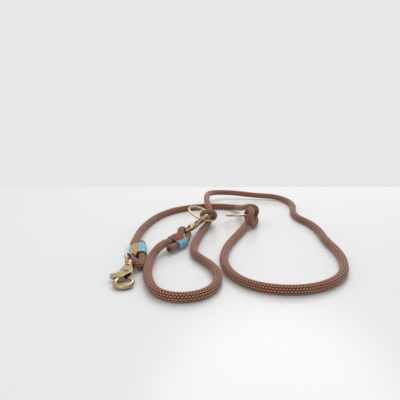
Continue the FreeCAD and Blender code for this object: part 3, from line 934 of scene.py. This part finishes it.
def tabPlace(place, facts, shape, whippingStart):
    # laid over the whipping's round sides, and drooping where it sticks out past its end
    half = facts["length"] / 2
    rim = whippingFacts["inner"] + whippingFacts["twine"]
    x = place.x + facts["shift"]
    over = max(0.0, abs(x) - foldFacts["legOffset"])
    drop = rim - math.sqrt(max(0.0, rim ** 2 - over ** 2))
    z = facts["start"] + half + place.z
    past = max(0.0, whippingStart - z)
    y = shape["surface"] + shape["thickness"] / 2 + place.y * facts["side"] - drop
    curl = max(0.0, facts["curl"] * math.sin(shape["curlTurn"] * place.z / half))
    return Vector((x, facts["side"] * (y + curl - facts["droop"] * past), z))


def leatherTab(letter, material):
    facts, shape = tabFacts[letter], tabShape
    name = "leather_tab_%s_hide" % letter
    tab = addBox(name, facts["width"], shape["thickness"], facts["length"])
    editWhole(tab, bpy.ops.mesh.subdivide, number_cuts=shape["cuts"])
    for vertex in tab.data.vertices:
        cutTab(vertex.co, facts, shape)
    applyModifier(
        tab, "BEVEL", width=shape["bevel"], segments=shape["bevelSteps"],
        limit_method="ANGLE", angle_limit=shape["bevelOver"],
    )
    matrix = whippingMatrix(letter)
    whippingStart = whippingFacts["span"][letter][0]
    for vertex in tab.data.vertices:
        vertex.co = matrix @ tabPlace(vertex.co, facts, shape, whippingStart)
    tab.data.update()
    editWhole(tab, bpy.ops.mesh.normals_make_consistent, inside=False)
    finishPiece(tab, material, "rope", ["leather_tab_" + letter])


leatherTab("a", tanLeather)
leatherTab("b", rustLeather)
print("leather tabs made")


# Metal: the same solids with the softened edges of a tumbled casting

castFacts = {
    "eye": {"voxel": 0.00024, "smooth": 6},
    "hook": {"voxel": 0.00024, "smooth": 6},
    "trigger": {"voxel": 0.00022, "smooth": 6},
    "rivet": {"voxel": 0.00016, "smooth": 6},
}
ringFacts = {"voxel": 0.00030, "smooth": 4}
sameCorner = 0.001 * mm         # corners of the solid's triangles that are this near are one


def castCopy(node, facts, suffix):
    mesh = bpy.data.meshes.new_from_object(frame["nodes"][node])
    thing = bpy.data.objects.new(node + suffix, mesh)
    bpy.context.scene.collection.objects.link(thing)
    work = bmesh.new()
    work.from_mesh(mesh)
    bmesh.ops.remove_doubles(work, verts=work.verts, dist=sameCorner)
    work.to_mesh(mesh)
    work.free()
    applyModifier(thing, "REMESH", mode="VOXEL", voxel_size=facts["voxel"], adaptivity=0.0)
    applyModifier(thing, "SMOOTH", factor=0.5, iterations=facts["smooth"])
    return thing


def dressNode(node, material):
    # the solid as it is, in its finish
    thing = frame["nodes"][node]
    thing.data.materials.clear()
    thing.data.materials.append(material)


for letter in "ab":
    for part, facts in castFacts.items():
        node = "snap_%s_%s" % (letter, part)
        body = frame["nodes"][node]["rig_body"]
        finishPiece(castCopy(node, facts, "_cast"), antiqueBrass, body, [node])
for number in (1, 2):
    node = "ring_%d" % number
    finishPiece(castCopy(node, ringFacts, "_wire"), paleBrass, node, [node])
for letter in "ab":
    dressNode("snap_%s_swivel_pin" % letter, antiqueBrass)
    dressNode("snap_%s_spring" % letter, springSteel)
print("metal made")


# Table, surroundings and light

stageFacts = {
    "table": "#e7e7e7",
    "lacquer": {"Roughness": 0.22, "Specular IOR Level": 0.35},
    "farEdge": 0.321,
    "nearEdge": -1.6,
    "halfWidth": 2.2,
    "thickness": 0.03,
    "gap": 0.00002,             # under the rope, so that no faces fall together
    "wall": "#e8e7e8",
    "wallSeen": 1.0,
    "wallLight": 0.65,
}
lampFacts = [
    {"name": "window", "place": (0.25, 0.75, 1.1), "size": 1.1, "energy": 9.0},
    {"name": "front_fill", "place": (-0.5, -0.9, 0.9), "size": 0.9, "energy": 2.6},
]


def makeTable(facts):
    # Lacquered board: near white, with a soft gloss
    depth = facts["farEdge"] - facts["nearEdge"]
    middle = (facts["farEdge"] + facts["nearEdge"]) / 2
    table = addBox("table", 2 * facts["halfWidth"], depth, facts["thickness"])
    table.data.transform(Matrix.Translation((0, middle, -facts["thickness"] / 2 - facts["gap"])))
    material, tree, shader = newMaterial("white_lacquer", facts["lacquer"])
    shader.inputs["Base Color"].default_value = linearColour(facts["table"])
    table.data.materials.append(material)


def makeWorld(facts):
    # the wall's colour where it is seen or mirrored, and a plain light for the rest
    world = bpy.data.worlds.new("surroundings")
    bpy.context.scene.world = world
    world.use_nodes = True
    tree = world.node_tree
    tree.nodes.clear()
    seen = addNode(
        tree, "ShaderNodeBackground", None,
        {"Color": linearColour(facts["wall"]), "Strength": facts["wallSeen"]},
    )
    lit = addNode(
        tree, "ShaderNodeBackground", None,
        {"Color": (1, 1, 1, 1), "Strength": facts["wallLight"]},
    )
    path = addNode(tree, "ShaderNodeLightPath")
    seenOrMirrored = addNode(
        tree, "ShaderNodeMath", {"operation": "MAXIMUM"},
        {0: path.outputs["Is Camera Ray"], 1: path.outputs["Is Glossy Ray"]},
    )
    shown = addNode(
        tree, "ShaderNodeMath", {"operation": "MAXIMUM"},
        {0: seenOrMirrored.outputs["Value"], 1: path.outputs["Is Transmission Ray"]},
    )
    mixed = addNode(
        tree, "ShaderNodeMixShader", None,
        {0: shown.outputs["Value"], 1: lit.outputs["Background"], 2: seen.outputs["Background"]},
    )
    addNode(tree, "ShaderNodeOutputWorld", None, {"Surface": mixed.outputs["Shader"]})


def makeLamp(facts):
    lamp = bpy.data.lights.new(facts["name"], "AREA")
    lamp.shape = "DISK"
    lamp.size = facts["size"]
    lamp.energy = facts["energy"]
    holder = bpy.data.objects.new(facts["name"], lamp)
    holder.location = facts["place"]
    aim = -Vector(facts["place"])
    holder.rotation_euler = aim.to_track_quat("-Z", "Y").to_euler()
    bpy.context.scene.collection.objects.link(holder)


makeTable(stageFacts)
makeWorld(stageFacts)
for facts in lampFacts:
    makeLamp(facts)
bpy.context.scene.view_settings.view_transform = "Standard"
print("stage made")
